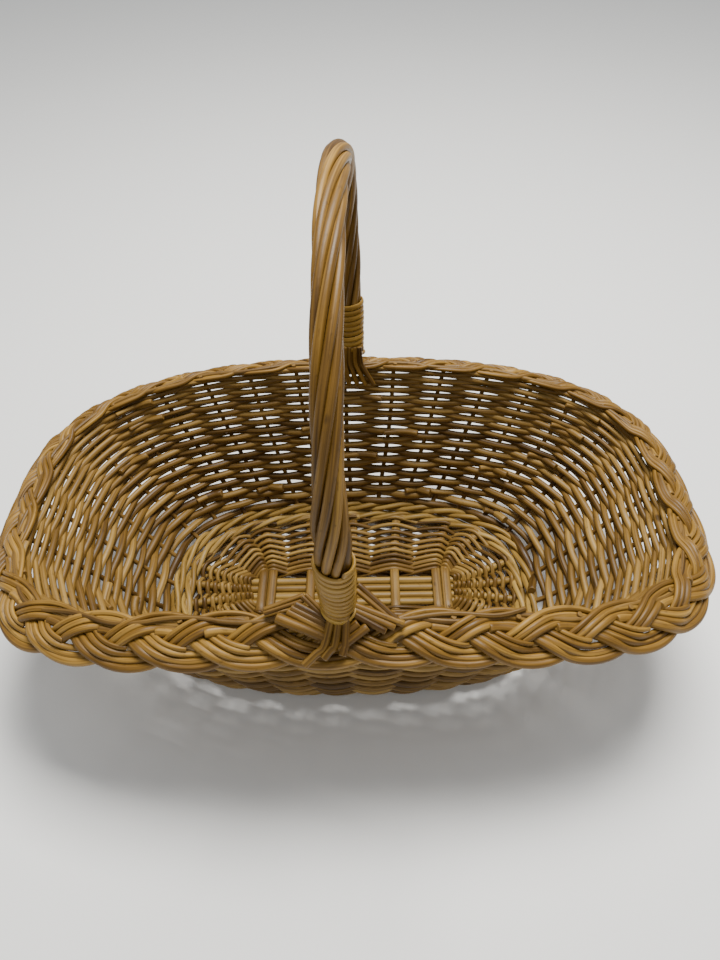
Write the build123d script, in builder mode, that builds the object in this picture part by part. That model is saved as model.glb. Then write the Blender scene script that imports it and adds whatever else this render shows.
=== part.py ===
"""Oval woven market basket: stick-and-weave base, flared randed wall, three-strand plaited
border and a roped bow handle bound to the middle of the long sides.

Frame: +Z up, origin at the middle of the footprint on the floor, +X along the basket and
+Y across it, under the handle. Millimetres.
"""
import math
import os
from build123d import *

os.makedirs("parts", exist_ok=True)

# --- driving dimensions -------------------------------------------------------------
# Wall, measured on its middle surface, where the stakes stand.
FOOT_HALF_LENGTH = 139.0
FOOT_HALF_WIDTH = 85.0
FOOT_SQUARENESS = 2.7
FOOT_HEIGHT = 8.0
RIM_HALF_LENGTH = 216.7
RIM_HALF_WIDTH = 111.3
RIM_SQUARENESS = 3.53
RIM_SIDE_HEIGHT = 143.0     # middle of the long sides
RIM_DROP = 26.3             # how much lower the rim is at the two ends
END_BULGE = 0.3             # how far the wall's spread runs ahead of a straight slope,
SIDE_BULGE = 0.6            # at the ends and at the long sides
WALL_HALF_THICKNESS = 5.0
BAND_TOPS = (0.06, 0.37, 0.68)      # shares of the wall's rise: foot wale, lower, middle
STAKE_COUNT = 33
STAKE_RADIUS = 2.1
STAKE_PHASE = 0.32          # keeps both feet of the handle clear of the stakes
STAKE_TOE_HEIGHT = 3.0
STAKE_TOP_COVER = 3.0       # wall left above the top of a stake
END_STAKE_PLACE = 150.0     # stakes beyond this belong to the two ends

# Plaited border: three strands side by side, the plait sloping outward and down.
STRAND_WIDTH = 10.4
STRAND_THICKNESS = 12.0
BORDER_TILT = 31.0
BORDER_OUTSET = 10.9        # middle of the plait, outside the wall's middle surface
BORDER_STATIONS = 8         # cross-sections in a quarter of the way round
WALL_TOP_COVER = 1.0        # the wall top hugs the underside of the plait

# Base: sticks and weave.
STICK_DIAMETER = 6.6
STICK_PITCH = 6.8
STICK_HEIGHT = 6.5
WEAVE_BOTTOM = 2.8
WEAVE_THICKNESS = 7.4
INNER_WEAVE_SCALE = 0.72
CROSS_STICK_PLACES = (-73.6, -66.6, -35.0, 0.0, 35.0, 66.6, 73.6)
CROSS_STICK_SPLAY = (-34.0, -14.0, -4.0, 0.0, 4.0, 14.0, 34.0)
SLATH_HALF_LENGTH = 78.0    # bare crossing of the sticks, before the weave begins
LONG_STICK_SPREAD = 3.0     # the long sticks fan out to this many times their spacing
SLIT_BLOCK_HALF = 17.0
SLIT_BLOCK_HEIGHT = 11.6

# Handle: a core bow with seven rods round it, in an upright plane turned a little.
HANDLE_TOP = 353.3
HANDLE_TURN = 1.7           # degrees, seen from above, clockwise from +Y
HANDLE_SHIFT = 0.2
LEG_LEAN = 8.0              # the legs carry on the wall's slope
LEG_OUT_AT_RIM = 110.0
CORE_RADIUS = 3.0
CORE_TOE_HEIGHT = 62.0
ROD_COUNT = 7
ROD_RADIUS = 2.22
ROD_RING_RADIUS = CORE_RADIUS + ROD_RADIUS + 0.03
ROD_FOOT_HEIGHT = 160.5
BINDING_TURNS = 13
BINDING_BOTTOM = 161.0
BINDING_TOP = 213.5
BINDING_RADIUS = 10.6
BINDING_GROOVE = 0.8

# Tail ends of the handle rods, three over the border and four inside it.
TAIL_RADIUS = 1.65
TAIL_STRAIGHT = 3.0         # a tail leaves its rod in line before it bends
TAIL_FIRST_LEAN = 2.0
OUTSIDE_TAIL_FAN = 5.8
INSIDE_TAIL_FAN = 5.6
OUTSIDE_TAIL = ((-3.0, 8.6), (4.0, 8.5), (9.0, 8.6))        # down the plait, above its middle
INSIDE_TAIL = ((-6.0, 9.0), (-7.8, 3.0), (-8.8, -2.0))      # out from the wall top, up from it

TILT = math.radians(BORDER_TILT)
LEAN = math.radians(LEG_LEAN)


# --- shape helpers ------------------------------------------------------------------
def oval_point(half_length, half_width, squareness, turn, outset=0.0):
    """A point of a superellipse, moved outward along its normal by outset."""
    c, s = math.cos(turn), math.sin(turn)
    x = math.copysign(half_length * abs(c) ** (2 / squareness), c)
    y = math.copysign(half_width * abs(s) ** (2 / squareness), s)
    normal_x = math.copysign(abs(x / half_length) ** (squareness - 1) / half_length, x)
    normal_y = math.copysign(abs(y / half_width) ** (squareness - 1) / half_width, y)
    length = math.hypot(normal_x, normal_y)
    return Vector(x + outset * normal_x / length, y + outset * normal_y / length)


def flare(rise, bulge):
    """Share of the outward spread reached at a share of the rise."""
    return rise + bulge * rise * (1 - rise)


def wall_outline(height):
    """Half-length, half-width and squareness of the wall's middle surface."""
    climb = max(height - FOOT_HEIGHT, 0.0)
    end_rise = climb / (RIM_SIDE_HEIGHT - RIM_DROP - FOOT_HEIGHT)
    side_rise = climb / (RIM_SIDE_HEIGHT - FOOT_HEIGHT)
    along = flare(end_rise, END_BULGE)
    across = flare(side_rise, SIDE_BULGE)
    half_length = FOOT_HALF_LENGTH + (RIM_HALF_LENGTH - FOOT_HALF_LENGTH) * along
    half_width = FOOT_HALF_WIDTH + (RIM_HALF_WIDTH - FOOT_HALF_WIDTH) * across
    squareness = FOOT_SQUARENESS + (RIM_SQUARENESS - FOOT_SQUARENESS) * side_rise
    return half_length, half_width, squareness


def walk_turns(outline, count):
    """Superellipse angles that cut an outline into equal lengths, from the +X end round."""
    steps = 720
    points = [oval_point(*outline, math.tau * k / steps) for k in range(steps + 1)]
    walked = [0.0]
    for before, after in zip(points, points[1:]):
        walked.append(walked[-1] + math.hypot(after.X - before.X, after.Y - before.Y))
    turns = []
    k = 0
    for number in range(count):
        wanted = walked[-1] * number / count
        while walked[k + 1] < wanted:
            k += 1
        turns.append(math.tau * (k + (wanted - walked[k]) / (walked[k + 1] - walked[k])) / steps)
    return turns


def oval_curve(outline, outset=0.0, count=24):
    """Evenly spaced points round a superellipse, moved outward by outset."""
    return [oval_point(*outline, turn, outset) for turn in walk_turns(outline, count)]


def wall_point(height, share):
    """Point of the wall's middle surface, a share of the way round from the +X end."""
    outline = wall_outline(height)
    fine = 400
    place = oval_point(*outline, walk_turns(outline, fine)[round(share * fine) % fine])
    return Vector(place.X, place.Y, height)


def saddle_height(side_height, x):
    """Height of a row that is side_height at mid-side and dips towards the ends."""
    drop = RIM_DROP * (side_height - FOOT_HEIGHT) / (RIM_SIDE_HEIGHT - FOOT_HEIGHT)
    return side_height - drop * (x / RIM_HALF_LENGTH) ** 2


def row_side_height(share):
    """Mid-side height of the row at a share of the wall's rise."""
    return FOOT_HEIGHT + share * (RIM_SIDE_HEIGHT - FOOT_HEIGHT)


def add_oval_tower(outset, bottom, top, mode=Mode.ADD):
    """Loft the wall's outline, moved by outset, from one height to another."""
    sections = []
    for step in range(5):
        height = bottom + (top - bottom) * step / 4
        with BuildSketch(Plane.XY.offset(height)) as section:
            with BuildLine():
                Spline(*oval_curve(wall_outline(height), outset), periodic=True)
            make_face()
        sections.append(section.sketch)
    loft(sections, mode=mode)


def keep_between_rows(low_height, high_height):
    """Keep only what lies between two saddle rows; a low_height of 0 is the flat floor."""
    reach = RIM_HALF_LENGTH + 40
    places = [reach * k / 4 for k in range(-4, 5)]
    high = [(x, saddle_height(high_height, x)) for x in places]
    low = [(x, saddle_height(low_height, x) if low_height else 0.0) for x in places]
    with BuildSketch(Plane.XZ) as side_view:
        with BuildLine():
            top_row = Spline(*high)
            bottom_row = Spline(*low) if low_height else Line(low[0], low[-1])
            Line(bottom_row @ 0, top_row @ 0)
            Line(bottom_row @ 1, top_row @ 1)
        make_face()
    extrude(side_view.sketch, amount=RIM_HALF_WIDTH + 40, both=True, mode=Mode.INTERSECT)


def remove_all(pieces):
    """Cut the seats of other pieces out of the piece being made."""
    for piece in pieces:
        add(piece, mode=Mode.SUBTRACT)


def finish_piece(builder, name):
    builder.part.label = name
    export_step(builder.part, f"parts/{name}.step")


# --- base sticks --------------------------------------------------------------------
def base_outline_scale(scale):
    inner = FOOT_HALF_LENGTH - WALL_HALF_THICKNESS
    across = FOOT_HALF_WIDTH - WALL_HALF_THICKNESS
    return inner * scale, across * scale, FOOT_SQUARENESS


def base_edge_y(x, scale=0.96):
    """Half-width of the base at a place along it."""
    half_length, half_width, squareness = base_outline_scale(scale)
    return half_width * (1 - abs(x / half_length) ** squareness) ** (1 / squareness)


def base_edge_x(y, scale=0.96):
    """Half-length of the base at a place across it."""
    half_length, half_width, squareness = base_outline_scale(scale)
    return half_length * (1 - abs(y / half_width) ** squareness) ** (1 / squareness)


def add_rod(points, radius, mode=Mode.ADD):
    """Round rod whose middle line runs smoothly through the points."""
    with BuildLine() as path:
        Spline(*points)
    with BuildSketch(Plane(origin=path.line @ 0, z_dir=path.line % 0)) as section:
        Circle(radius)
    sweep(section.sketch, path=path.line, mode=mode)


def add_stick_arm(start, bend, end, radius):
    """Base stick arm in plan: straight from start to bend, then a gentle arc to its end."""
    points = [Vector(x, y, STICK_HEIGHT) for x, y in (start, bend, end)]
    with BuildLine() as path:
        straight = Line(points[0], points[1])
        if abs((straight % 1).cross(points[2] - points[1]).Z) < 0.01:
            Line(points[1], points[2])
        else:
            TangentArc(points[1], points[2], tangent=straight % 1)
    with BuildSketch(Plane(origin=points[0], z_dir=straight % 0)) as section:
        Circle(radius)
    sweep(section.sketch, path=path.wire())


# --- base: four long sticks threaded through seven slit cross sticks -----------------
long_sticks = []
for number, lane in enumerate((-1.5, -0.5, 0.5, 1.5), start=1):
    middle_y = lane * STICK_PITCH
    end_y = middle_y * LONG_STICK_SPREAD
    end_x = base_edge_x(end_y)
    with BuildPart() as long_stick:
        for sign in (-1, 1):
            bend = (sign * SLATH_HALF_LENGTH, middle_y)
            add_stick_arm((0, middle_y), bend, (sign * end_x, end_y), STICK_DIAMETER / 2)
    finish_piece(long_stick, f"base_long_stick_{number}")
    long_sticks.append(long_stick.part)

cross_sticks = []
slit_width = 4 * STICK_PITCH
for number, (place, splay) in enumerate(zip(CROSS_STICK_PLACES, CROSS_STICK_SPLAY), start=1):
    end_y = base_edge_y(place + splay)
    with BuildPart() as cross_stick:
        with BuildSketch(Plane.XZ):
            with Locations((place, STICK_HEIGHT)):
                Ellipse(STICK_DIAMETER / 2 + 0.2, SLIT_BLOCK_HEIGHT / 2)
        extrude(amount=SLIT_BLOCK_HALF, both=True)
        for sign in (-1, 1):
            start = (place, sign * (SLIT_BLOCK_HALF - 2))
            bend = (place, sign * (SLIT_BLOCK_HALF + 4))
            end = (place + splay, sign * end_y)
            add_stick_arm(start, bend, end, STICK_DIAMETER / 2)
        with BuildSketch(Plane.YZ.offset(place)):
            with Locations((0, STICK_HEIGHT)):
                Rectangle(slit_width, STICK_DIAMETER)
        extrude(amount=STICK_DIAMETER, both=True, mode=Mode.SUBTRACT)
    finish_piece(cross_stick, f"base_cross_stick_{number}")
    cross_sticks.append(cross_stick.part)


# --- base weave ---------------------------------------------------------------------
def add_weave_disc(scale, mode=Mode.ADD):
    with BuildSketch(Plane.XY.offset(WEAVE_BOTTOM)) as disc:
        with BuildLine():
            Spline(*oval_curve(base_outline_scale(scale)), periodic=True)
        make_face()
    extrude(disc.sketch, amount=WEAVE_THICKNESS, mode=mode)


def add_slath_opening():
    """The bare middle, where the sticks cross and nothing is woven."""
    with BuildSketch(Plane.XY) as slath:
        Rectangle(2 * SLATH_HALF_LENGTH, 2 * SLIT_BLOCK_HALF)
    extrude(slath.sketch, amount=2 * STICK_HEIGHT, mode=Mode.SUBTRACT)


with BuildPart() as base_weave_inner:
    add_weave_disc(INNER_WEAVE_SCALE)
    add_slath_opening()
    remove_all(long_sticks + cross_sticks)
finish_piece(base_weave_inner, "base_weave_inner")

with BuildPart() as base_weave_outer:
    add_weave_disc(1.0)
    add_weave_disc(INNER_WEAVE_SCALE, mode=Mode.SUBTRACT)
    remove_all(long_sticks + cross_sticks)
finish_piece(base_weave_outer, "base_weave_outer")


# --- border: three strands ------------------------------------------------------------
def border_point(turn, across):
    """Middle of the plait, moved outward and down its slope by across."""
    outset = BORDER_OUTSET + across * math.cos(TILT)
    foot = oval_point(RIM_HALF_LENGTH, RIM_HALF_WIDTH, RIM_SQUARENESS, turn, outset)
    wall = oval_point(RIM_HALF_LENGTH, RIM_HALF_WIDTH, RIM_SQUARENESS, turn)
    height = saddle_height(RIM_SIDE_HEIGHT, wall.X) - across * math.sin(TILT)
    return Vector(foot.X, foot.Y, height)


def border_plane(turn, across):
    """Plane square to a strand, its X pointing down the slope of the plait."""
    nudge = 0.001
    along = border_point(turn + nudge, across) - border_point(turn - nudge, across)
    slope = border_point(turn, across + 1) - border_point(turn, across - 1)
    facing = along.cross(slope)
    return Plane(origin=border_point(turn, across), x_dir=facing.cross(along), z_dir=along)


rim_outline = (RIM_HALF_LENGTH + BORDER_OUTSET, RIM_HALF_WIDTH + BORDER_OUTSET, RIM_SQUARENESS)
quarter_turns = walk_turns(rim_outline, 4 * BORDER_STATIONS)[:BORDER_STATIONS]
strands = []
for strand_name, lane in (("inner", -1), ("middle", 0), ("outer", 1)):
    with BuildPart() as strand:
        for turn in quarter_turns + [math.pi / 2]:
            with BuildSketch(border_plane(turn, lane * STRAND_WIDTH)):
                Ellipse(STRAND_WIDTH / 2, STRAND_THICKNESS / 2)
        loft()
        mirror(about=Plane.XZ)
        mirror(about=Plane.YZ)
    strands.append(strand)


# --- handle core and stakes -----------------------------------------------------------
turned = math.radians(HANDLE_TURN)
HANDLE_PLANE = Plane(
    origin=(HANDLE_SHIFT, 0, 0),
    x_dir=(math.sin(turned), math.cos(turned), 0),
    z_dir=(math.cos(turned), -math.sin(turned), 0),
)
APEX = HANDLE_TOP - ROD_RING_RADIUS - ROD_RADIUS
BOW_RADIUS = (LEG_OUT_AT_RIM + math.tan(LEAN) * (APEX - RIM_SIDE_HEIGHT)) / (
    math.cos(LEAN) + math.tan(LEAN) * (1 + math.sin(LEAN))
)


def leg_out(height):
    """How far out the middle line of a leg stands at a height."""
    return LEG_OUT_AT_RIM + math.tan(LEAN) * (height - RIM_SIDE_HEIGHT)


def bow_path(foot_height, outward=0.0, sideways=0.0):
    """Leg, round top, leg: the handle's middle line, or a line beside it."""
    bow_centre = APEX - BOW_RADIUS
    radius = BOW_RADIUS + outward
    foot = Vector(
        leg_out(foot_height) + outward * math.cos(LEAN),
        foot_height - outward * math.sin(LEAN),
    )
    shoulder = Vector(radius * math.cos(LEAN), bow_centre - radius * math.sin(LEAN))
    with BuildLine(HANDLE_PLANE.offset(sideways)) as bow:
        Line((-foot.X, foot.Y), (-shoulder.X, shoulder.Y))
        ThreePointArc(
            (-shoulder.X, shoulder.Y), (0, bow_centre + radius), (shoulder.X, shoulder.Y)
        )
        Line((shoulder.X, shoulder.Y), (foot.X, foot.Y))
    return bow.wire()


def add_bow(radius, foot_height, outward=0.0, sideways=0.0):
    bow = bow_path(foot_height, outward, sideways)
    with BuildSketch(Plane(origin=bow @ 0, z_dir=bow % 0)) as section:
        Circle(radius)
    sweep(section.sketch, path=bow)


with BuildPart() as handle_core:
    add_bow(CORE_RADIUS, CORE_TOE_HEIGHT)
finish_piece(handle_core, "handle_core")

for number in range(1, ROD_COUNT + 1):
    clock = math.tau * (number - 1) / ROD_COUNT
    with BuildPart() as handle_rod:
        add_bow(
            ROD_RADIUS,
            ROD_FOOT_HEIGHT,
            ROD_RING_RADIUS * math.cos(clock),
            ROD_RING_RADIUS * math.sin(clock),
        )
    finish_piece(handle_rod, f"handle_rod_{number}")

for strand_name, strand in zip(("inner", "middle", "outer"), strands):
    with strand:
        add(handle_core.part, mode=Mode.SUBTRACT)
    finish_piece(strand, f"border_strand_{strand_name}")


# --- stakes -----------------------------------------------------------------------------
def stake_points(share):
    """Points up the wall's middle surface at one share of the way round it."""
    top = wall_top_height(share)
    heights = [STAKE_TOE_HEIGHT + (top - STAKE_TOE_HEIGHT) * step / 2 for step in range(3)]
    return [wall_point(height, share) for height in heights]


def wall_top_height(share):
    """Height at which a stake meets the border."""
    height = RIM_SIDE_HEIGHT
    for _ in range(3):
        height = saddle_height(RIM_SIDE_HEIGHT, wall_point(height, share).X) - STAKE_TOP_COVER
    return height


stake_groups = {"front": [], "back": [], "left": [], "right": []}
for number in range(STAKE_COUNT):
    points = stake_points((number + STAKE_PHASE) / STAKE_COUNT)
    top = points[-1]
    if abs(top.X) > END_STAKE_PLACE:
        side = "right" if top.X > 0 else "left"
    else:
        side = "back" if top.Y > 0 else "front"
    stake_groups[side].append(points)

stakes = []
for side, group in stake_groups.items():
    with BuildPart() as stake_group:
        for points in group:
            add_rod(points, STAKE_RADIUS)
    finish_piece(stake_group, f"stakes_{side}")
    stakes.extend(stake_group.part.solids())


# --- wall bands ---------------------------------------------------------------------------
def make_wall_band(name, low_height, high_height, seats):
    with BuildPart() as band:
        bottom = -2.0
        top = RIM_SIDE_HEIGHT + 8
        add_oval_tower(WALL_HALF_THICKNESS, bottom, top)
        add_oval_tower(-WALL_HALF_THICKNESS, bottom, top, mode=Mode.SUBTRACT)
        keep_between_rows(low_height, high_height)
        remove_all(seats)
    finish_piece(band, name)


edges = [0.0] + [row_side_height(share) for share in BAND_TOPS] + [RIM_SIDE_HEIGHT + WALL_TOP_COVER]
names = ("base_edge_wale", "siding_lower", "siding_middle", "siding_upper")
for name, low_height, high_height in zip(names, edges, edges[1:]):
    seats = [handle_core.part] + stakes
    if name == "siding_upper":
        seats = [strand.part for strand in reversed(strands)] + seats
    make_wall_band(name, low_height, high_height, seats)


# --- bindings ---------------------------------------------------------------------------
def leg_point(sign, height, outward=0.0, sideways=0.0):
    """Point beside the middle line of the front (-1) or back (+1) leg."""
    out = leg_out(height) + outward * math.cos(LEAN)
    return HANDLE_PLANE.from_local_coords((sign * out, height - outward * math.sin(LEAN), sideways))


for side, sign in (("front", -1), ("back", 1)):
    foot = leg_point(sign, BINDING_BOTTOM)
    leg = leg_point(sign, BINDING_TOP) - foot
    pitch = leg.length / BINDING_TURNS
    inner = ROD_RING_RADIUS + ROD_RADIUS + 0.1
    groove = BINDING_RADIUS - BINDING_GROOVE
    section = Plane(origin=foot, x_dir=HANDLE_PLANE.z_dir, z_dir=leg.cross(HANDLE_PLANE.z_dir))
    upward = 1 if section.y_dir.Z > 0 else -1
    with BuildPart() as binding:
        with BuildSketch(section):
            with BuildLine():
                Line((inner, 0), (inner, upward * leg.length))
                for turn in range(BINDING_TURNS):
                    ThreePointArc(
                        (groove, upward * turn * pitch),
                        (BINDING_RADIUS, upward * (turn + 0.5) * pitch),
                        (groove, upward * (turn + 1) * pitch),
                    )
                Line((inner, 0), (groove, 0))
                Line((inner, upward * leg.length), (groove, upward * leg.length))
            make_face()
        revolve(axis=Axis(foot, leg))
    finish_piece(binding, f"handle_binding_{side}")


# --- tails ------------------------------------------------------------------------------
def tail_route(face):
    """Outward distance and height of the points that a tail passes, at mid-side."""
    if face == "inside":
        return [(RIM_HALF_WIDTH + out, RIM_SIDE_HEIGHT + up) for out, up in INSIDE_TAIL]
    middle = RIM_HALF_WIDTH + BORDER_OUTSET
    return [
        (
            middle + across * math.cos(TILT) + lift * math.sin(TILT),
            RIM_SIDE_HEIGHT - across * math.sin(TILT) + lift * math.cos(TILT),
        )
        for across, lift in OUTSIDE_TAIL
    ]


def tail_clocks(face):
    """Clock angles of the handle rods whose tails lie on one face of the border."""
    clocks = [math.tau * k / ROD_COUNT for k in range(ROD_COUNT)]
    wanted = 1 if face == "outside" else -1
    return [clock for clock in clocks if wanted * math.cos(clock) > 0]


for side, sign in (("front", -1), ("back", 1)):
    for face, fan in (("outside", OUTSIDE_TAIL_FAN), ("inside", INSIDE_TAIL_FAN)):
        clocks = sorted(tail_clocks(face), key=lambda clock: sign * math.sin(clock))
        with BuildPart() as tails:
            for rank, clock in enumerate(clocks):
                outward = ROD_RING_RADIUS * math.cos(clock)
                sideways = ROD_RING_RADIUS * math.sin(clock)
                start = leg_point(sign, ROD_FOOT_HEIGHT, outward, sideways)
                bend = leg_point(sign, ROD_FOOT_HEIGHT - TAIL_STRAIGHT, outward, sideways)
                reach = sign * (TAIL_FIRST_LEAN + fan * rank)
                route = tail_route(face)
                bends = [
                    (start.X + reach * step / len(route), sign * out, height)
                    for step, (out, height) in enumerate(route, start=1)
                ]
                add_rod([start, bend, *bends], TAIL_RADIUS)
        finish_piece(tails, f"handle_tails_{side}_{face}")
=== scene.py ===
"""The looks of an oval woven market basket: every rod of its base, wall, plaited border and
roped handle, laid on the surfaces that the CAD frame gives. Metres, +Z up, +X along the
basket, origin at the middle of its footprint.
"""
import math
import random

import bpy
import numpy as np
from mathutils import Matrix, Vector


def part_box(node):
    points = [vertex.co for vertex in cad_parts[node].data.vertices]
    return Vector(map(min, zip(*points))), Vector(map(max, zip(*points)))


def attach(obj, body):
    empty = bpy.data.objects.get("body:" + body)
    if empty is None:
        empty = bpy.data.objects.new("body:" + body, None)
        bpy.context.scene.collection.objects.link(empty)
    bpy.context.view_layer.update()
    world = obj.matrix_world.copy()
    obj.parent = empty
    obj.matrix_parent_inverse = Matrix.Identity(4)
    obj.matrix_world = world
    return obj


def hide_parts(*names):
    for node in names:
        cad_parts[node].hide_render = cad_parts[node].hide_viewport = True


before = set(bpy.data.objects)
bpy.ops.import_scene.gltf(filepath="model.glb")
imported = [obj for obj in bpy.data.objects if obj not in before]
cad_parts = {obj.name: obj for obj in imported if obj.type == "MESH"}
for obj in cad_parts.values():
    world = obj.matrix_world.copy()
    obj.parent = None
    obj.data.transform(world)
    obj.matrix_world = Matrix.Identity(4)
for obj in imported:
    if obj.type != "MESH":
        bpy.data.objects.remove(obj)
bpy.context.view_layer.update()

MM = 0.001
TAU = math.tau
RANDOM = random.Random(33)


# --- sizes shared by several parts ---
WALL_HALF_THICKNESS = 5.0 * MM  # of the CAD band
STAKE_COUNT = 33
STAKE_PHASE = 0.32  # of a stake's spacing, where the first stake stands
STAKE_RADIUS = 2.1 * MM  # that the siding rods bend round
TOE_SPREAD_ALONG = 0.12  # share of the outward spread that the toe adds, at the ends
TOE_SPREAD_ACROSS = 0.42  # and at the long sides
TOE_CURL = 0.06  # share of the rise in which the toe adds most of it
TOE_TUCK = 8.0 * MM  # the stakes start this much further in than the CAD band
FOOT_SQUARENESS = 2.7  # superellipse exponent of the foot
RIM_SQUARENESS = 3.53  # and of the rim
FOOT_HEIGHT = 8.0 * MM
BORDER_TILT = math.radians(31.0)
STRAND_REACH = 5.42 * MM  # half the extent of one CAD strand, across the basket
STRAND_RISE = 5.79 * MM  # and upward

_, base_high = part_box("base_weave_outer")
_, rim_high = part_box("siding_upper")
plait_low, plait_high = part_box("border_strand_middle")
core_low, core_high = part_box("handle_core")
FOOT_HALF_LENGTH = base_high[0] + WALL_HALF_THICKNESS - TOE_TUCK
FOOT_HALF_WIDTH = base_high[1] + WALL_HALF_THICKNESS - TOE_TUCK
RIM_HALF_LENGTH = rim_high[0] - WALL_HALF_THICKNESS
RIM_HALF_WIDTH = rim_high[1] - WALL_HALF_THICKNESS
RIM_SIDE_HEIGHT = plait_high[2] - STRAND_RISE
RIM_DROP = (plait_high[2] - plait_low[2]) - 2 * STRAND_RISE  # how much lower the rim's ends are
# From the wall's rim outward to the plait's middle.
BORDER_OUTSET = plait_high[0] - STRAND_REACH - RIM_HALF_LENGTH

CORE_RADIUS = 3.0 * MM
HANDLE_TURN = math.radians(1.7)
LEG_LEAN = math.radians(8.0)
HANDLE_SHIFT = 0.5 * (core_low[0] + core_high[0])
APEX = core_high[2] - CORE_RADIUS
BOW_RADIUS = 0.5 * (core_high[1] - core_low[1]) / math.cos(HANDLE_TURN) - CORE_RADIUS


# --- rods ---
END_SHRINK = 0.86  # a rod's end is this share of its width
END_LENGTH = 0.6 * MM  # and stands this far beyond its last full ring


def unit(vectors):
    """Vectors brought to length 1."""
    return vectors / np.linalg.norm(vectors, axis=-1, keepdims=True)


def walk(points):
    """Distance walked along a line at each of its points."""
    return np.concatenate([[0], np.cumsum(np.linalg.norm(np.diff(points, axis=0), axis=1))])


class Rods:
    """Gathers round rods into one mesh, with the grain, tone and cut ends of each."""

    def __init__(self, name, sides=10):
        self.name = name
        self.sides = sides
        self.verts, self.faces = [], []
        self.grain, self.tone, self.cut = [], [], []
        self.caps = []
        self.count = 0

    def add(self, points, radius, tone, reference=(0, 0, 1), flat=1.0):
        """One rod along points; radius is a number or one per point; flat squashes it."""
        points = np.asarray(points, float)
        number = len(points)
        radius = np.broadcast_to(np.asarray(radius, float), (number,))
        tangent = unit(np.gradient(points, axis=0))
        reference = np.broadcast_to(np.asarray(reference, float), (number, 3))
        normal = unit(reference - (reference * tangent).sum(1)[:, None] * tangent)
        side = np.cross(tangent, normal)
        walked = walk(points)

        # The ends are a little rounded: an extra, smaller ring closes each.
        rows = [0, *range(number), number - 1]
        shrink = [END_SHRINK] + [1.0] * number + [END_SHRINK]
        push = [-END_LENGTH] + [0.0] * number + [END_LENGTH]
        around = np.arange(self.sides)
        cosine = np.cos(around * TAU / self.sides)
        sine = np.sin(around * TAU / self.sides)
        start = self.count
        offset = RANDOM.uniform(0, 30)
        for ring, (row, scale, out) in enumerate(zip(rows, shrink, push)):
            centre = points[row] + tangent[row] * out
            reach = radius[row] * scale
            circle = centre + np.outer(cosine * reach * flat, normal[row])
            self.verts.append(circle + np.outer(sine * reach, side[row]))
            along = np.full(self.sides, walked[row] + offset)
            across = cosine * radius[row] + offset
            self.grain.append(np.stack([along, across, sine * radius[row]], axis=1))
            is_end = ring in (0, len(rows) - 1)
            self.cut.append(np.full(self.sides, 1.0 if is_end else 0.0))
        rings = len(rows)
        self.tone.append(np.full(rings * self.sides, tone))
        following = (around + 1) % self.sides
        for ring in range(rings - 1):
            low = start + ring * self.sides
            high = low + self.sides
            self.faces.append(
                np.stack([low + around, low + following, high + following, high + around], axis=1)
            )
        self.caps.append(list(start + around[::-1]))
        self.caps.append(list(start + (rings - 1) * self.sides + around))
        self.count += rings * self.sides

    def build(self, material, replaces=(), slot=None):
        """Make the mesh object, ride it on the basket and hide the CAD nodes it stands for."""
        verts = np.concatenate(self.verts)
        quads = np.concatenate(self.faces).tolist()
        mesh = bpy.data.meshes.new(self.name)
        mesh.from_pydata(verts.tolist(), [], quads + self.caps)
        for name, kind, values in (
            ("grain", "FLOAT_VECTOR", np.concatenate(self.grain)),
            ("tone", "FLOAT", np.concatenate(self.tone)),
            ("cut", "FLOAT", np.concatenate(self.cut)),
        ):
            layer = mesh.attributes.new(name, kind, "POINT")
            field = "vector" if kind == "FLOAT_VECTOR" else "value"
            layer.data.foreach_set(field, values.astype(np.float32).ravel())
        mesh.polygons.foreach_set("use_smooth", [True] * len(quads) + [False] * len(self.caps))
        mesh.materials.append(material)
        mesh.update()
        piece = bpy.data.objects.new(self.name, mesh)
        bpy.context.scene.collection.objects.link(piece)
        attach(piece, "root")
        if replaces:
            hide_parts(*replaces)


def smooth_path(points, per_span=8):
    """Catmull-Rom curve through points."""
    points = np.asarray(points, float)
    last = len(points) - 1
    path = []
    for span in range(last):
        p0 = points[max(span - 1, 0)]
        p1, p2 = points[span], points[span + 1]
        p3 = points[min(span + 2, last)]
        square = 2 * p0 - 5 * p1 + 4 * p2 - p3
        cube = 3 * p1 - p0 - 3 * p2 + p3
        for step in range(per_span):
            t = step / per_span
            path.append(p1 + 0.5 * ((p2 - p0) * t + square * t**2 + cube * t**3))
    path.append(points[-1])
    return np.array(path)


def wobble(count, size, knots):
    """Slow random drift of a hand-made line."""
    values = [RANDOM.uniform(-size, size) for _ in range(knots)]
    return np.interp(np.linspace(0, knots - 1, count), range(knots), values)


def random_tone(middle, spread):
    """How light a rod is, from 0 to 1."""
    return min(max(RANDOM.gauss(middle, spread), 0.05), 0.95)


# --- the wall's middle surface ---
OUTLINE_SAMPLES = 4001
HEIGHT_ROUNDS = 5  # enough for heights that depend on x to settle


def superellipse(half_length, half_width, squareness, turn, outset=0.0):
    """Points of a superellipse, moved outward along its normal by outset."""
    c, s = np.cos(turn), np.sin(turn)
    x = np.sign(c) * half_length * np.abs(c) ** (2 / squareness)
    y = np.sign(s) * half_width * np.abs(s) ** (2 / squareness)
    normal_x = np.sign(c) * np.abs(x / half_length) ** (squareness - 1) / half_length
    normal_y = np.sign(s) * np.abs(y / half_width) ** (squareness - 1) / half_width
    length = np.hypot(normal_x, normal_y)
    return x + outset * normal_x / length, y + outset * normal_y / length


def even_turns(half_length, half_width, squareness, shares):
    """Superellipse angles at given shares of the outline's length."""
    turns = np.linspace(0, TAU, OUTLINE_SAMPLES)
    walked = walk(np.stack(superellipse(half_length, half_width, squareness, turns), axis=1))
    return np.interp(shares, walked / walked[-1], turns)


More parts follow.
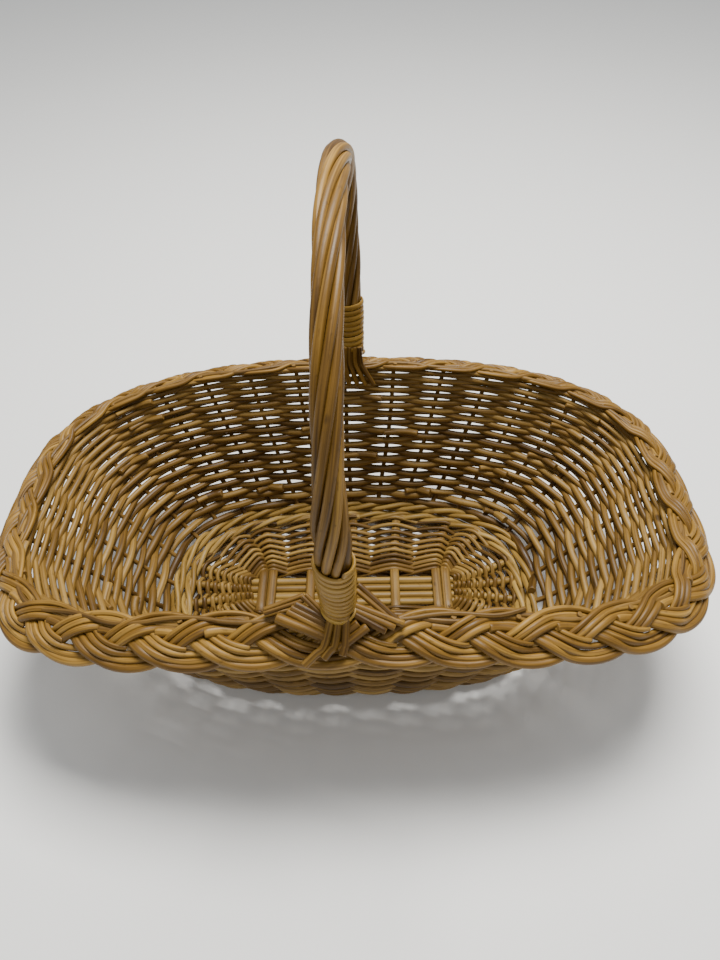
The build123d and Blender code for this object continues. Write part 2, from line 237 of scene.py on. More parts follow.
def flare(rise, toe_spread):
    """Share of the outward spread reached at a share of the rise: quick at the toe."""
    return (1 - toe_spread) * rise + toe_spread * (1 - np.exp(-rise / TOE_CURL))


def make_wall_grid(columns=1056, rows=121, low_rise=-0.05, high_rise=1.15):
    """Points of the wall's middle surface by share of the way round and share of the rise."""
    shares = np.arange(columns) / columns
    rises = np.linspace(low_rise, high_rise, rows)
    foot = even_turns(FOOT_HALF_LENGTH, FOOT_HALF_WIDTH, FOOT_SQUARENESS, shares)
    rim = even_turns(RIM_HALF_LENGTH, RIM_HALF_WIDTH, RIM_SQUARENESS, shares)
    grid = np.zeros((rows, columns, 3))
    for row, rise in enumerate(rises):
        turn = foot + (rim - foot) * min(max(rise, 0.0), 1.0)
        side_height = FOOT_HEIGHT + rise * (RIM_SIDE_HEIGHT - FOOT_HEIGHT)
        z = np.full(columns, side_height)
        for _ in range(HEIGHT_ROUNDS):
            climb = np.maximum(z - FOOT_HEIGHT, 0)
            end_rise = climb / (RIM_SIDE_HEIGHT - RIM_DROP - FOOT_HEIGHT)
            side_rise = climb / (RIM_SIDE_HEIGHT - FOOT_HEIGHT)
            along = flare(end_rise, TOE_SPREAD_ALONG)
            across = flare(side_rise, TOE_SPREAD_ACROSS)
            x, y = superellipse(
                FOOT_HALF_LENGTH + (RIM_HALF_LENGTH - FOOT_HALF_LENGTH) * along,
                FOOT_HALF_WIDTH + (RIM_HALF_WIDTH - FOOT_HALF_WIDTH) * across,
                FOOT_SQUARENESS + (RIM_SQUARENESS - FOOT_SQUARENESS) * side_rise,
                turn,
            )
            z = side_height - RIM_DROP * rise * (x / RIM_HALF_LENGTH) ** 2
        grid[row] = np.stack([x, y, z], axis=1)
    around = np.roll(grid, -1, axis=1) - np.roll(grid, 1, axis=1)
    upward = np.gradient(grid, axis=0)
    return grid, unit(np.cross(around, upward)), unit(upward), rises


WALL_GRID, WALL_NORMAL, WALL_UPWARD, WALL_RISES = make_wall_grid()


def read_grid(grid, share, rise):
    """Bilinear reading of one of the wall's grids."""
    rows, columns = grid.shape[:2]
    column = (np.asarray(share, float) % 1.0) * columns
    row = (np.asarray(rise, float) - WALL_RISES[0]) / (WALL_RISES[1] - WALL_RISES[0])
    row = np.clip(row, 0, rows - 1.001)
    c0 = np.floor(column).astype(int) % columns
    r0 = np.floor(row).astype(int)
    cf, rf = (column - np.floor(column))[:, None], (row - r0)[:, None]
    c1 = (c0 + 1) % columns
    low = grid[r0, c0] * (1 - cf) + grid[r0, c1] * cf
    high = grid[r0 + 1, c0] * (1 - cf) + grid[r0 + 1, c1] * cf
    return low * (1 - rf) + high * rf


def wall(share, rise, out=0.0, lift=0.0):
    """Points at shares round the wall and up it, moved outward and up the wall."""
    share, rise = np.broadcast_arrays(np.atleast_1d(share).astype(float), rise)
    out = np.broadcast_to(out, share.shape)[:, None]
    lift = np.broadcast_to(lift, share.shape)[:, None]
    normal = read_grid(WALL_NORMAL, share, rise)
    upward = read_grid(WALL_UPWARD, share, rise)
    return read_grid(WALL_GRID, share, rise) + normal * out + upward * lift


# --- materials ---
# How often each noise repeats per metre: along a rod, then twice across it.
STREAK_SCALE = (14.0, 900.0, 900.0)
DRIFT_SCALE = (22.0, 60.0, 60.0)
FLECK_SCALE = (260.0, 500.0, 500.0)
KNOT_SCALE = (55.0, 110.0, 110.0)
STREAK_SHADE = 0.25  # how far the streaks move the shade, up or down
DRIFT_SHADE = 0.16
FLECK_STRENGTH = 0.35
KNOT_STRENGTH = 0.75
FLECK_DARKNESS = 0.35  # of the material's dark colour
KNOT_DARKNESS = 0.3
SMOOTHER, ROUGHER = 0.08, 0.14  # how far the streaks move the roughness, down and up


def willow(name, dark, mid, light, end, roughness=0.42):
    """Peeled, oil-brown willow: streaks along the grain, slow drift, flecks, cut ends."""
    material = bpy.data.materials.new(name)
    material.use_nodes = True
    nodes, links = material.node_tree.nodes, material.node_tree.links
    shader = nodes["Principled BSDF"]

    def attribute(label, output):
        node = nodes.new("ShaderNodeAttribute")
        node.attribute_name = label
        return node.outputs[output]

    def noise(scale, detail):
        """Noise over the grain of the rod."""
        mapping = nodes.new("ShaderNodeMapping")
        mapping.inputs["Scale"].default_value = scale
        links.new(grain, mapping.inputs["Vector"])
        texture = nodes.new("ShaderNodeTexNoise")
        texture.inputs["Scale"].default_value = 1.0
        texture.inputs["Detail"].default_value = detail
        links.new(mapping.outputs["Vector"], texture.inputs["Vector"])
        return texture.outputs["Fac"]

    def spread(value, low, high, to_low, to_high):
        node = nodes.new("ShaderNodeMapRange")
        node.inputs["From Min"].default_value = low
        node.inputs["From Max"].default_value = high
        node.inputs["To Min"].default_value = to_low
        node.inputs["To Max"].default_value = to_high
        links.new(value, node.inputs["Value"])
        return node.outputs["Result"]

    def compute(operation, first, second):
        node = nodes.new("ShaderNodeMath")
        node.operation = operation
        for socket, value in zip(node.inputs, (first, second)):
            if isinstance(value, (int, float)):
                socket.default_value = value
            else:
                links.new(value, socket)
        return node.outputs["Value"]

    def blend(factor, first, second):
        """Mix of a colour from a link and a plain colour."""
        node = nodes.new("ShaderNodeMix")
        node.data_type = "RGBA"
        links.new(factor, node.inputs["Factor"])
        links.new(first, node.inputs[6])
        node.inputs[7].default_value = (*second, 1.0)
        return node.outputs[2]

    grain = attribute("grain", "Vector")
    tone = attribute("tone", "Fac")
    cut = attribute("cut", "Fac")
    streaks = noise(STREAK_SCALE, 4.0)
    drift = noise(DRIFT_SCALE, 2.0)
    flecks = noise(FLECK_SCALE, 2.0)
    knots = noise(KNOT_SCALE, 1.0)

    shade = compute("ADD", tone, spread(drift, 0.3, 0.7, -DRIFT_SHADE, DRIFT_SHADE))
    shade = compute("ADD", shade, spread(streaks, 0.3, 0.7, -STREAK_SHADE, STREAK_SHADE))
    ramp = nodes.new("ShaderNodeValToRGB")
    ramp.color_ramp.elements[0].color = (*dark, 1.0)
    ramp.color_ramp.elements[1].color = (*light, 1.0)
    middle = ramp.color_ramp.elements.new(0.5)
    middle.color = (*mid, 1.0)
    links.new(shade, ramp.inputs["Fac"])
    fleck_colour = [channel * FLECK_DARKNESS for channel in dark]
    knot_colour = [channel * KNOT_DARKNESS for channel in dark]
    is_fleck = spread(flecks, 0.62, 0.74, 0.0, FLECK_STRENGTH)
    is_knot = spread(knots, 0.71, 0.78, 0.0, KNOT_STRENGTH)
    stained = blend(is_fleck, ramp.outputs["Color"], fleck_colour)
    stained = blend(is_knot, stained, knot_colour)
    links.new(blend(cut, stained, end), shader.inputs["Base Color"])

    gloss = spread(streaks, 0.25, 0.75, roughness - SMOOTHER, roughness + ROUGHER)
    links.new(gloss, shader.inputs["Roughness"])
    shader.inputs["Specular IOR Level"].default_value = 0.26
    bump = nodes.new("ShaderNodeBump")
    bump.inputs["Strength"].default_value = 0.35
    bump.inputs["Distance"].default_value = 0.4 * MM
    relief = compute("ADD", streaks, compute("MULTIPLY", flecks, 0.6))
    links.new(relief, bump.inputs["Height"])
    links.new(bump.outputs["Normal"], shader.inputs["Normal"])
    return material


GOLDEN_END = (0.19, 0.105, 0.024)
PALE_END = (0.36, 0.235, 0.09)
BROWN = willow(
    "willow_brown", (0.038, 0.016, 0.002), (0.165, 0.084, 0.012), (0.39, 0.225, 0.045), GOLDEN_END
)
SIDING = willow(
    "willow_siding", (0.050, 0.023, 0.004), (0.170, 0.092, 0.018), (0.36, 0.222, 0.060), GOLDEN_END
)
# The base's willow is the siding's with each colour at 0.85 of its brightness: painted shade on
# the base of the basket.
SHADED_BASE_WILLOW = willow(
    "willow_base_shaded", (0.042, 0.019, 0.003), (0.145, 0.077, 0.015), (0.31, 0.190, 0.050), GOLDEN_END
)
PALE = willow(
    "willow_pale", (0.11, 0.056, 0.009), (0.25, 0.148, 0.032), (0.44, 0.290, 0.082), PALE_END
)
CANE = willow(
    "willow_cane", (0.10, 0.047, 0.006), (0.24, 0.130, 0.018), (0.42, 0.258, 0.052), PALE_END,
    roughness=0.36,
)
STAKE = willow(
    "willow_stake", (0.042, 0.019, 0.003), (0.12, 0.062, 0.013), (0.24, 0.135, 0.034), GOLDEN_END
)


# --- stakes and siding ---
STAKE_LOW, STAKE_HIGH = -0.035, 1.05  # shares of the rise where the stakes start and stop
STAKE_STEPS = 26
STAKE_LEAN = 0.0009  # share of the way round that a stake strays
STAKE_FOOT_RADIUS = 2.0 * MM
STAKE_TOP_RADIUS = 1.7 * MM
END_STAKES_FROM = 150.0 * MM  # stakes whose tops are beyond this belong to the ends
SIDING_ROWS = 32
SIDING_LOW = 0.062  # share of the rise at the top of the wale
SIDING_HIGH = 1.06
FIRST_PITCH, LAST_PITCH = 5.7, 2.6  # of the rows, in proportion to each other
FIRST_ROD_RADIUS = 3.05 * MM
LAST_ROD_RADIUS = 1.8 * MM
BUTT_SIZE, TIP_SIZE = 1.10, 0.84  # of a rod's ends, against its row's radius
WEAVE_DEPTH = 0.5  # how far the rods bend round the stakes, of what they could
WEAVE_ROUNDNESS = 0.85  # below 1, the bends stay longer beside the stakes
ROD_TURNS = 1.17  # how far round one siding rod goes
ROD_END_REACH = 0.42  # of a stake's spacing, added at both ends of a rod
TUCK_DEPTH = 1.15  # how far in its ends go, of a stake's and a rod's radius
STEPS_PER_STAKE = 8
LOWER_BAND_TOP, MIDDLE_BAND_TOP = 0.37, 0.68  # shares of the rise where the CAD bands meet


def siding_rise(row):
    """Share of the rise at a (fractional) row: the rows close up toward the rim."""
    t = np.asarray(row, float) / SIDING_ROWS
    share = (2 * FIRST_PITCH * t - (FIRST_PITCH - LAST_PITCH) * t**2) / (FIRST_PITCH + LAST_PITCH)
    return SIDING_LOW + (SIDING_HIGH - SIDING_LOW) * share


def siding_radius(row):
    """Radius of the siding rods at a row: thinner toward the rim."""
    return FIRST_ROD_RADIUS + (LAST_ROD_RADIUS - FIRST_ROD_RADIUS) * row / SIDING_ROWS


def weave_out(turn, radius):
    """How far out of the wall a siding rod runs: past the stakes alternately out and in."""
    wave = np.cos(math.pi * (STAKE_COUNT * turn - STAKE_PHASE))
    rounded = np.sign(wave) * np.abs(wave) ** WEAVE_ROUNDNESS
    return (STAKE_RADIUS + radius) * WEAVE_DEPTH * rounded


def make_stakes():
    """Upright stakes in four groups, each rod a little crooked."""
    groups = {}
    rises = np.linspace(STAKE_LOW, STAKE_HIGH, STAKE_STEPS)
    taper = np.linspace(STAKE_FOOT_RADIUS, STAKE_TOP_RADIUS, STAKE_STEPS)
    for number in range(STAKE_COUNT):
        share = (number + STAKE_PHASE) / STAKE_COUNT
        points = wall(share + wobble(STAKE_STEPS, STAKE_LEAN, knots=5), rises)
        top = points[-1]
        if abs(top[0]) > END_STAKES_FROM:
            side = "right" if top[0] > 0 else "left"
        else:
            side = "back" if top[1] > 0 else "front"
        rods = groups.setdefault(side, Rods(f"stakes_{side}_woven"))
        radius = taper * RANDOM.uniform(0.93, 1.07)
        rods.add(points, radius, random_tone(0.45, 0.15), reference=(0.3, 0.2, 0.0))
    for side, rods in groups.items():
        rods.build(STAKE, [f"stakes_{side}"], "stakes")


def siding_band(rise):
    """Which of the three CAD bands a rod at a share of the rise belongs to."""
    if rise < LOWER_BAND_TOP:
        return "lower"
    return "middle" if rise < MIDDLE_BAND_TOP else "upper"


def make_siding():
    """One long spiral of rods, in front of one stake and behind the next."""
    bands = {band: Rods(f"siding_{band}_woven") for band in ("lower", "middle", "upper")}
    start = 0.0
    while start < SIDING_ROWS - 0.3:
        end = min(start + ROD_TURNS * RANDOM.uniform(0.9, 1.12), SIDING_ROWS)
        first = round(start * STAKE_COUNT)
        last = round(end * STAKE_COUNT)
        steps = (last - first) * STEPS_PER_STAKE
        # A rod begins and ends just past a stake, on the inside of the wall.
        turn = np.linspace(first - ROD_END_REACH, last + ROD_END_REACH, steps) / STAKE_COUNT
        row = np.clip(turn, 0, SIDING_ROWS)
        base_radius = siding_radius(row)
        taper = np.linspace(BUTT_SIZE, TIP_SIZE, steps)
        radius = base_radius * taper * (1 + wobble(steps, 0.04, knots=9))
        edge = np.minimum(np.arange(steps), np.arange(steps)[::-1]) / STEPS_PER_STAKE
        tuck = np.clip(1 - edge, 0, 1) ** 2
        out = weave_out(turn, base_radius) * (1 - tuck)
        out -= (STAKE_RADIUS + base_radius) * TUCK_DEPTH * tuck
        lift = wobble(steps, 0.35 * MM, knots=max(6, (last - first) // 2))
        lift += (tuck - 0.15) * 0.4 * MM
        out += wobble(steps, 0.3 * MM, knots=12)
        points = wall(turn, siding_rise(row), out, lift)
        band = siding_band(float(siding_rise(0.5 * (start + end))))
        bands[band].add(points, radius, random_tone(0.5, 0.16))
        start = last / STAKE_COUNT
    for band, rods in bands.items():
        rods.build(SIDING, [f"siding_{band}"], "siding")


WALE_ROWS = (0.004, 0.040)  # shares of the rise
WALE_RODS = 3  # to a row
WALE_RADIUS = 2.25 * MM
WALE_SWING = 4.0 * MM  # of its rods, in and out of the wall
WALE_OUTSET = 0.6 * MM
WALE_LIFT = 2.6 * MM  # and up and down it
WALE_OVERLAP = 1.4  # stake spacings that a rod runs on past its own start
WALE_STEPS_PER_STAKE = 9


def make_wale():
    """Two rows of three pale rods: each passes inside two stakes and outside one."""
    rods = Rods("base_edge_wale_woven", sides=12)
    steps = STAKE_COUNT * WALE_STEPS_PER_STAKE
    for rise in WALE_ROWS:
        for rod in range(WALE_RODS):
            first = RANDOM.randrange(STAKE_COUNT)
            run = np.linspace(0, STAKE_COUNT + WALE_OVERLAP, steps)
            turn = (first + rod + run) / STAKE_COUNT
            phase = TAU * (STAKE_COUNT * turn - STAKE_PHASE + rod) / WALE_RODS
            out = WALE_SWING * np.cos(phase) + WALE_OUTSET
            points = wall(turn, np.full(steps, rise), out, WALE_LIFT * np.sin(phase))
            radius = WALE_RADIUS * np.linspace(1.08, 0.9, steps)
            rods.add(points, radius, random_tone(0.55, 0.12))
    rods.build(PALE, ["base_edge_wale"], "pale_wale")


# --- base ---
STICK_RADIUS = 3.3 * MM
CROSS_STICK_HALF_WIDTH = 3.7 * MM  # of each slit half, half as thick as wide
STICK_HEIGHT = 6.5 * MM
STICK_REACH = 0.985  # of the base oval's size, where the sticks end
LONG_STICK_PLACES = (-10.2 * MM, -3.4 * MM, 3.4 * MM, 10.2 * MM)
LONG_STICK_SPREAD = 3.0  # how much further apart their ends are than their middles
LONG_BEND = 14.0 * MM  # past the slath, where they begin to spread
LONG_BEND_SPREAD = 1.15
# Where each cross stick lies along the base, and how far its ends splay from there, in mm.
CROSS_STICKS = (
    (-72.5, -34.0), (-65.0, -14.0), (-34.0, -4.0), (0.0, 0.0), (34.0, 4.0), (67.5, 14.0),
    (75.0, 34.0),
)
CROSS_BEND = 34.0 * MM  # from the middle, where a cross stick begins to splay
SLIT_HALF_LENGTH = 24.0 * MM
SLIT_CLOSING = 8.0 * MM  # the length in which the slit's two halves come together
HALF_CLOSED = 1.35 * MM  # of each half above or below the stick's middle
HALF_OPENING = 3.4 * MM  # and how much further where the long sticks pass
SLATH_HALF_LENGTH = 80.0 * MM
SLATH_HALF_WIDTH = 15.5 * MM
BASE_ROUNDS = 11
BASE_SHARE = 0.955  # of the base oval's size, where the last round lies
BASE_STEPS = 12  # from one stick to the next
PAIR_RADIUS = 1.8 * MM
PAIR_HEIGHT = 4.7 * MM  # of a rod above or below the sticks
PAIR_SWAY = 1.3 * MM  # of a rod in plan
PAIR_TWIST = 0.9 * MM  # keeps the two rods of a pair apart where they cross
PAIR_PEAK = 0.55  # share of a straight zigzag in a rod's path; the rest is smooth


def base_half_width(x):
    """Half the width of the base oval at a place along it."""
    share = abs(x / base_high[0]) ** FOOT_SQUARENESS
    return base_high[1] * (1 - share) ** (1 / FOOT_SQUARENESS)


def base_half_length(y):
    """Half the length of the base oval at a place across it."""
    share = abs(y / base_high[1]) ** FOOT_SQUARENESS
    return base_high[0] * (1 - share) ** (1 / FOOT_SQUARENESS)


def long_arm(place, sign, reach):
    """One end of a long stick from the slath outward: inner, bend and outer point in plan."""
    bend = (sign * (SLATH_HALF_LENGTH + LONG_BEND), place * LONG_BEND_SPREAD)
    return (sign * SLATH_HALF_LENGTH, place), bend, (sign * reach, place * LONG_STICK_SPREAD)


def cross_arm(place, splay, sign, share):
    """One end of a cross stick, outward as far as a share of the base oval's width."""
    x, outer_x = place * MM, (place + splay) * MM
    outer_y = sign * share * base_half_width(outer_x)
    return (x, sign * SLATH_HALF_WIDTH), (x, sign * CROSS_BEND), (outer_x, outer_y)


def base_arms():
    """Every stick end, in order round the base."""
    arms = []
    for place, splay in CROSS_STICKS:
        arms += [cross_arm(place, splay, sign, 1.0) for sign in (-1, 1)]
    for place in LONG_STICK_PLACES:
        reach = base_half_length(place * LONG_STICK_SPREAD)
        arms += [long_arm(place, sign, reach) for sign in (-1, 1)]
    arms.sort(key=lambda arm: math.atan2(arm[2][1], arm[2][0]))
    return arms


def arm_point(arm, share):
    """Point along an arm in plan: a curve that leaves the slath straight."""
    inner, bend, outer = (np.array(p) for p in arm)
    return inner * (1 - share) ** 2 + bend * 2 * share * (1 - share) + outer * share**2


def make_long_sticks():
    """Four sticks along the base, side by side in the middle, their ends spread."""
    reach = base_high[0] * STICK_REACH
    for number, place in enumerate(LONG_STICK_PLACES, start=1):
        rods = Rods(f"base_long_stick_{number}_rod", sides=14)
        left = [arm_point(long_arm(place, -1, reach), t) for t in np.linspace(1, 0, 12)]
        right = [arm_point(long_arm(place, 1, reach), t) for t in np.linspace(0, 1, 12)]
        plan = np.array(left + right)
        points = np.column_stack([plan, np.full(len(plan), STICK_HEIGHT)])
        points[:, 1] += wobble(len(points), 0.4 * MM, knots=7)
        radius = STICK_RADIUS * RANDOM.uniform(0.97, 1.03)
        rods.add(smooth_path(points, 4), radius, random_tone(0.45, 0.08))
        rods.build(PALE, [f"base_long_stick_{number}"], "base_sticks")


def make_cross_sticks():
    """Seven sticks across the base, whose slit middles hold the long sticks."""
    for number, (place, splay) in enumerate(CROSS_STICKS, start=1):
        rods = Rods(f"base_cross_stick_{number}_rod", sides=14)
        tone = random_tone(0.5, 0.1)
        arm = cross_arm(place, splay, 1, STICK_REACH)
        plan = np.array([arm_point(arm, t) for t in np.linspace(0, 1, 14)])
        x = np.concatenate([plan[::-1, 0], np.full(7, place * MM), plan[:, 0]])
        y = np.concatenate([-plan[::-1, 1], np.linspace(-12, 12, 7) * MM, plan[:, 1]])
        # The slit halves part over and under the long sticks.
        part = np.clip((SLIT_HALF_LENGTH - np.abs(y)) / SLIT_CLOSING, 0, 1)
        part = part * part * (3 - 2 * part)
        for half in (-1, 1):
            z = STICK_HEIGHT + half * (HALF_CLOSED + part * HALF_OPENING)
            rods.add(np.column_stack([x, y, z]), CROSS_STICK_HALF_WIDTH, tone, flat=0.5)
        rods.build(SHADED_BASE_WILLOW, [f"base_cross_stick_{number}"], "base_sticks")


def make_base_weave():
    """Rounds of two thin rods that twist between the stick ends."""
    arms = base_arms()
    count = len(arms)
    zones = {zone: Rods(f"base_weave_{zone}_woven", sides=8) for zone in ("inner", "outer")}
    for partner in range(2):
        tone = random_tone(0.5, 0.1)
        for round_number in range(BASE_ROUNDS):
            knots = []
            for index in range(-1, count + 3):
                turn = round_number + index / count
                share = BASE_SHARE * min(max(turn / (BASE_ROUNDS - 1), 0), 1)
                knots.append(arm_point(arms[index % count], share))
            path = smooth_path(knots, BASE_STEPS)
            plan = path[BASE_STEPS : BASE_STEPS * (count + 2) + 1]
            index = np.linspace(0, count + 1, len(plan))
            phase = math.pi * (index + round_number * count + partner)
            swing = np.cos(phase)
            peaked = PAIR_PEAK * (2 / math.pi) * np.arcsin(swing) + (1 - PAIR_PEAK) * swing
            outward = unit(np.gradient(plan, axis=0)[:, ::-1] * (1, -1))
            height = STICK_HEIGHT + PAIR_HEIGHT * peaked + PAIR_TWIST * np.sin(phase)
            plan = plan + outward * (PAIR_SWAY * peaked)[:, None]
            radius = PAIR_RADIUS * (1 + wobble(len(plan), 0.07, knots=9))
            # New rods come in every second round, the first one included, so the tone drawn
            # above is never used. That draw only keeps the later ones the same.
            if round_number % 2 == 0:
                tone = random_tone(0.5, 0.13)
            zone = "inner" if round_number < BASE_ROUNDS // 2 else "outer"
            zones[zone].add(np.column_stack([plan, height]), radius, tone)
    for zone, rods in zones.items():
        rods.build(SHADED_BASE_WILLOW, [f"base_weave_{zone}"], "base_weave")


# --- plaited border ---
PLAIT_PERIODS = 11  # of one strand, round the whole rim
PLAIT_SWING = 10.5 * MM  # of a strand each side of the plait's middle
PLAIT_LAYER = 2.15 * MM  # of a strand above or below the plait's middle
PLAIT_STEPS = 230
SWING_SHARPNESS = 0.04  # of the third wave that makes a strand's turns rounder
BUTT_LIFT = 0.5 * MM  # a rod's thick butt end rests on top where it starts
BUTT_LENGTH = 0.12  # in periods
JOINT_PULL = 4.0 * MM  # how far the plait is pulled apart beside its joint
JOINT_NEAR = 40.0 * MM  # the pull is full at this distance from the joint
JOINT_FAR = 350.0 * MM  # and fades away over this one
ROD_LIFE = 3.47  # periods that one rod stays in its strand
# How a rod's place across its strand and its radius change with its age, in periods.
RANK_PERIODS = (-0.1, 0.2, 0.7, 1.2, 1.7, 2.2, 2.7, 3.2, 3.5)
RANK_PLACES = (-3.6, -4.8, -4.0, -0.9, -0.1, 3.2, 3.9, 6.6, 6.9)  # across the strand, mm
RANK_RADII = (2.95, 2.9, 2.45, 2.3, 2.15, 1.95, 1.8, 1.6, 1.45)  # mm
# The four places in a period where a strand changes layer: the phase, how much that moves for
# a rod a millimetre further across the strand, and how slow the change is.
CROSSINGS = (
    (-0.53, -0.047, 0.30),
    (0.5 * math.pi, 0.028, 0.26),
    (math.pi - 0.69, 0.092, 0.32),
    (1.5 * math.pi, -0.028, 0.26),
)


def make_rim_frame(count=4400):
    """Middle line of the plait by share of its length, with its directions and its length."""
    turns = np.linspace(0, TAU, count, endpoint=False)
    base_x, _ = superellipse(RIM_HALF_LENGTH, RIM_HALF_WIDTH, RIM_SQUARENESS, turns)
    x, y = superellipse(RIM_HALF_LENGTH, RIM_HALF_WIDTH, RIM_SQUARENESS, turns, BORDER_OUTSET)
    z = RIM_SIDE_HEIGHT - RIM_DROP * (base_x / RIM_HALF_LENGTH) ** 2
    line = np.stack([x, y, z], axis=1)
    closed = np.vstack([line, line[:1]])
    walked = walk(closed)
    shares = np.arange(count) / count * walked[-1]
    even = np.stack([np.interp(shares, walked, closed[:, k]) for k in range(3)], axis=1)
    along = unit(np.roll(even, -1, axis=0) - np.roll(even, 1, axis=0))
    flat = unit(along * (1, 1, 0))
    outward = np.stack([flat[:, 1], -flat[:, 0], np.zeros(count)], axis=1)
    upward = np.cross(outward * -1, along)
    upward *= np.sign(upward[:, 2])[:, None]
    inward = -(math.cos(BORDER_TILT) * outward - math.sin(BORDER_TILT) * upward)
    above = math.sin(BORDER_TILT) * outward + math.cos(BORDER_TILT) * upward
    return even, inward, above, walked[-1]


RIM_LINE, RIM_INWARD, RIM_ABOVE, RIM_LENGTH = make_rim_frame()


def on_rim(distance, inward, above):
    """Points at distances along the plait's middle line, moved across it and above it."""
    place = (np.asarray(distance) / RIM_LENGTH) % 1.0 * len(RIM_LINE)
    low = np.floor(place).astype(int) % len(RIM_LINE)
    high = (low + 1) % len(RIM_LINE)
    part = (place - np.floor(place))[:, None]

    def read(table):
        return table[low] * (1 - part) + table[high] * part

    return read(RIM_LINE) + read(RIM_INWARD) * inward[:, None] + read(RIM_ABOVE) * above[:, None]


def loosen(distance):
    """The plait is pulled a little apart on both sides of its joint at the front foot."""
    from_joint = (distance - 0.25 * RIM_LENGTH) % RIM_LENGTH - 0.5 * RIM_LENGTH
    fade = np.exp(-((from_joint / JOINT_FAR) ** 2))
    return distance + JOINT_PULL * np.tanh(from_joint / JOINT_NEAR) * fade


def plait_height(theta, place):
    """+1 where a rod lies in the upper layer and -1 in the lower; place is across, in mm."""
    height = np.ones_like(theta)
    for turn in range(-1, 5):
        for phase, drift, width in CROSSINGS:
            height = height * np.tanh((theta - (TAU * turn + phase + drift * place)) / width)
    return height


def make_border():
    """Three strands; a new rod joins each every period and stays for about three and a half."""
    period = RIM_LENGTH / PLAIT_PERIODS
    for strand, node in enumerate(("inner", "middle", "outer")):
        rods = Rods(f"border_strand_{node}_plaited", sides=16)
        for turn in range(PLAIT_PERIODS):
            jitter = RANDOM.uniform(-0.05, 0.05)
            end = ROD_LIFE + RANDOM.uniform(-0.03, 0.03)
            life = np.linspace(jitter - 0.055, end, PLAIT_STEPS)
            theta = TAU * life
            place = np.interp(life, RANK_PERIODS, RANK_PLACES)
            place = np.convolve(np.pad(place, 12, mode="edge"), np.ones(25) / 25, "valid")
            place = place + wobble(PLAIT_STEPS, 0.35, knots=8)
            thick = np.interp(life, RANK_PERIODS, RANK_RADII) * RANDOM.uniform(0.93, 1.06) * MM
            swing = PLAIT_SWING * (np.cos(theta) - SWING_SHARPNESS * np.cos(3 * theta))
            slope = -PLAIT_SWING * (np.sin(theta) - 3 * SWING_SHARPNESS * np.sin(3 * theta))
            slope = slope * TAU / period
            length = np.hypot(1, slope)
            distance = (theta / TAU + turn + strand / 3) * period - place * MM * slope / length
            across = swing + place * MM / length
            level = PLAIT_LAYER * plait_height(theta, place)
            level = level + BUTT_LIFT * np.exp(-((life / BUTT_LENGTH) ** 2))
            points = on_rim(loosen(distance), across, level)
            rods.add(points, thick, random_tone(0.52, 0.09))
        rods.build(BROWN, [f"border_strand_{node}"], "border")


# --- handle ---
HANDLE_ALONG = np.array([math.sin(HANDLE_TURN), math.cos(HANDLE_TURN), 0.0])
HANDLE_SIDE = np.array([math.cos(HANDLE_TURN), -math.sin(HANDLE_TURN), 0.0])
BOW_CENTRE = APEX - BOW_RADIUS
LEG_OUT_AT_RIM = 110.0 * MM
CORE_FOOT_HEIGHT = 150.0 * MM
ROD_FOOT_HEIGHT = 154.0 * MM
HANDLE_STEPS = 360
CORE_SWELL = 1.1  # the core stick is drawn this much thicker than the CAD one
ROD_COUNT = 7
FIRST_ROD_ANGLE = 0.3
TWIST_LENGTH = 200.0 * MM
ROD_RING = 5.05 * MM  # from the core's middle to the middle of a rod
RING_SHRINK = 0.93  # of the ring at the back foot, against the front one
ROD_RADIUS = 2.2 * MM
# Where the rods stand further out: how far from the foot, over what length, and how much.
FRONT_SWELL = (78.0 * MM, 24.0 * MM, 2.2 * MM)
BACK_SWELL = (70.0 * MM, 20.0 * MM, 0.4 * MM)
APEX_SWELL = (0.5, 0.16, 0.5 * MM)  # at the top: the first two are shares of the length


def leg_out(height):
    """How far out from the middle of the basket a leg's middle is at a height."""
    return LEG_OUT_AT_RIM + math.tan(LEG_LEAN) * (height - RIM_SIDE_HEIGHT)


def bow_line(foot_height, count):
    """Middle line of the handle, front foot to back, with outward normals and distances."""
    shoulder = math.pi / 2 + LEG_LEAN
    foot_out = leg_out(foot_height)
    shoulder_out = BOW_RADIUS * math.cos(LEG_LEAN)
    shoulder_height = BOW_CENTRE - BOW_RADIUS * math.sin(LEG_LEAN)
    leg_length = math.hypot(shoulder_out - foot_out, shoulder_height - foot_height)
    total = 2 * leg_length + BOW_RADIUS * 2 * shoulder
    walked = np.linspace(0, total, count)
    sign = np.where(walked > total / 2, 1, -1)
    from_foot = np.minimum(walked, total - walked)
    on_leg = from_foot < leg_length
    part = from_foot / leg_length
    angle = shoulder - (from_foot - leg_length) / BOW_RADIUS
    leg_out_here = foot_out + (shoulder_out - foot_out) * part
    leg_height_here = foot_height + (shoulder_height - foot_height) * part
    along = sign * np.where(on_leg, leg_out_here, BOW_RADIUS * np.sin(angle))
    height = np.where(on_leg, leg_height_here, BOW_CENTRE + BOW_RADIUS * np.cos(angle))
    normal_along = sign * np.where(on_leg, math.cos(LEG_LEAN), np.sin(angle))
    normal_height = np.where(on_leg, -math.sin(LEG_LEAN), np.cos(angle))
    origin = np.array([HANDLE_SHIFT, 0.0, 0.0])
    points = origin + np.outer(along, HANDLE_ALONG) + np.outer(height, (0, 0, 1))
    outward = np.outer(normal_along, HANDLE_ALONG) + np.outer(normal_height, (0, 0, 1))
    return points, outward, walked


def swell(distance, place, length, size):
    """A smooth rise and fall round a place."""
    return size * np.exp(-(((distance - place) / length) ** 2))


